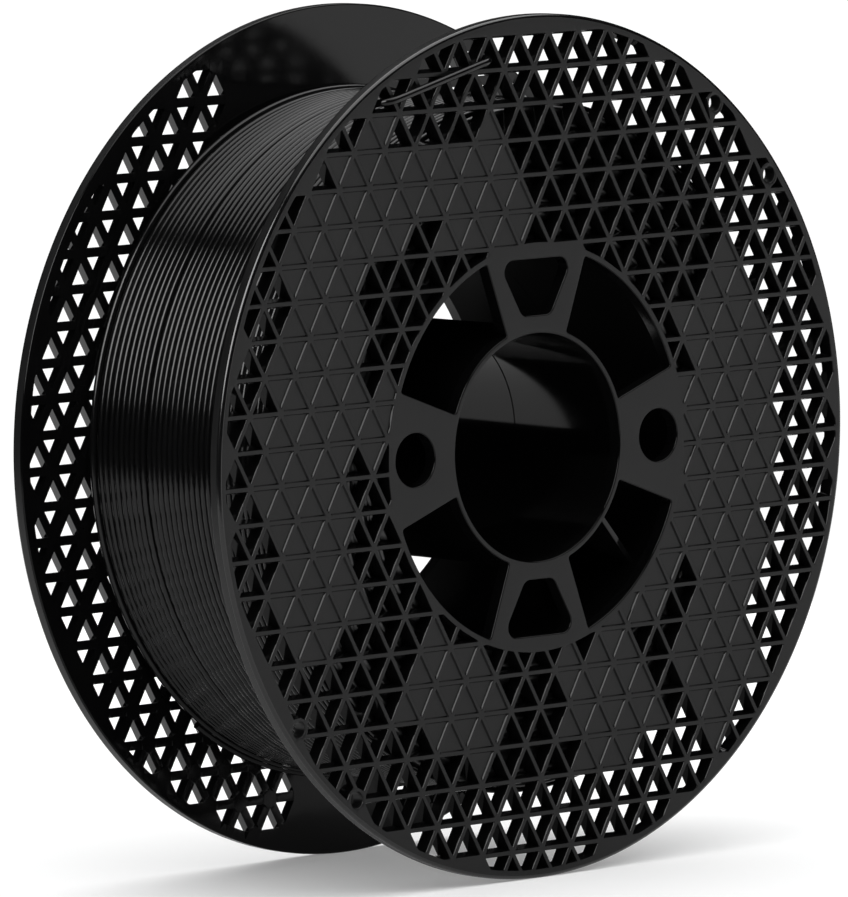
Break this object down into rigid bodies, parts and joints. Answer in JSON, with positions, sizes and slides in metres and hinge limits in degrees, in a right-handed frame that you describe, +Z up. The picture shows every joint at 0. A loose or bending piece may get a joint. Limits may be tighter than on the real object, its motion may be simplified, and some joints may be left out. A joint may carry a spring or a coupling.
{
  "type": "filament spool",
  "caption": "Round spool with two openwork triangle-lattice flanges on a wide open hub, full of black filament for a 3D printer, with the loose end threaded through one flange",
  "frame": {"origin": "centre of the spindle bore at mid width", "axes": "Y is the spool axis, the printed front flange faces -Y, +Z is up, X runs across the flange"},
  "size_m": [0.2, 0.072, 0.2],
  "materials": {
    "spool_plastic": "black moulded plastic, satin on the outer faces and glossy inside",
    "filament": "glossy black extruded thermoplastic strand"
  },
  "bodies": {
    "root": {"front_flange": "spool_plastic", "front_hub_plate": "spool_plastic", "front_bore_sleeve": "spool_plastic", "front_core_drum": "spool_plastic", "front_web": "spool_plastic", "rear_flange": "spool_plastic", "rear_hub_plate": "spool_plastic", "rear_bore_sleeve": "spool_plastic", "rear_core_drum": "spool_plastic", "rear_web": "spool_plastic", "filament_winding": "filament", "filament_tail": "filament"}
  },
  "joints": []
}
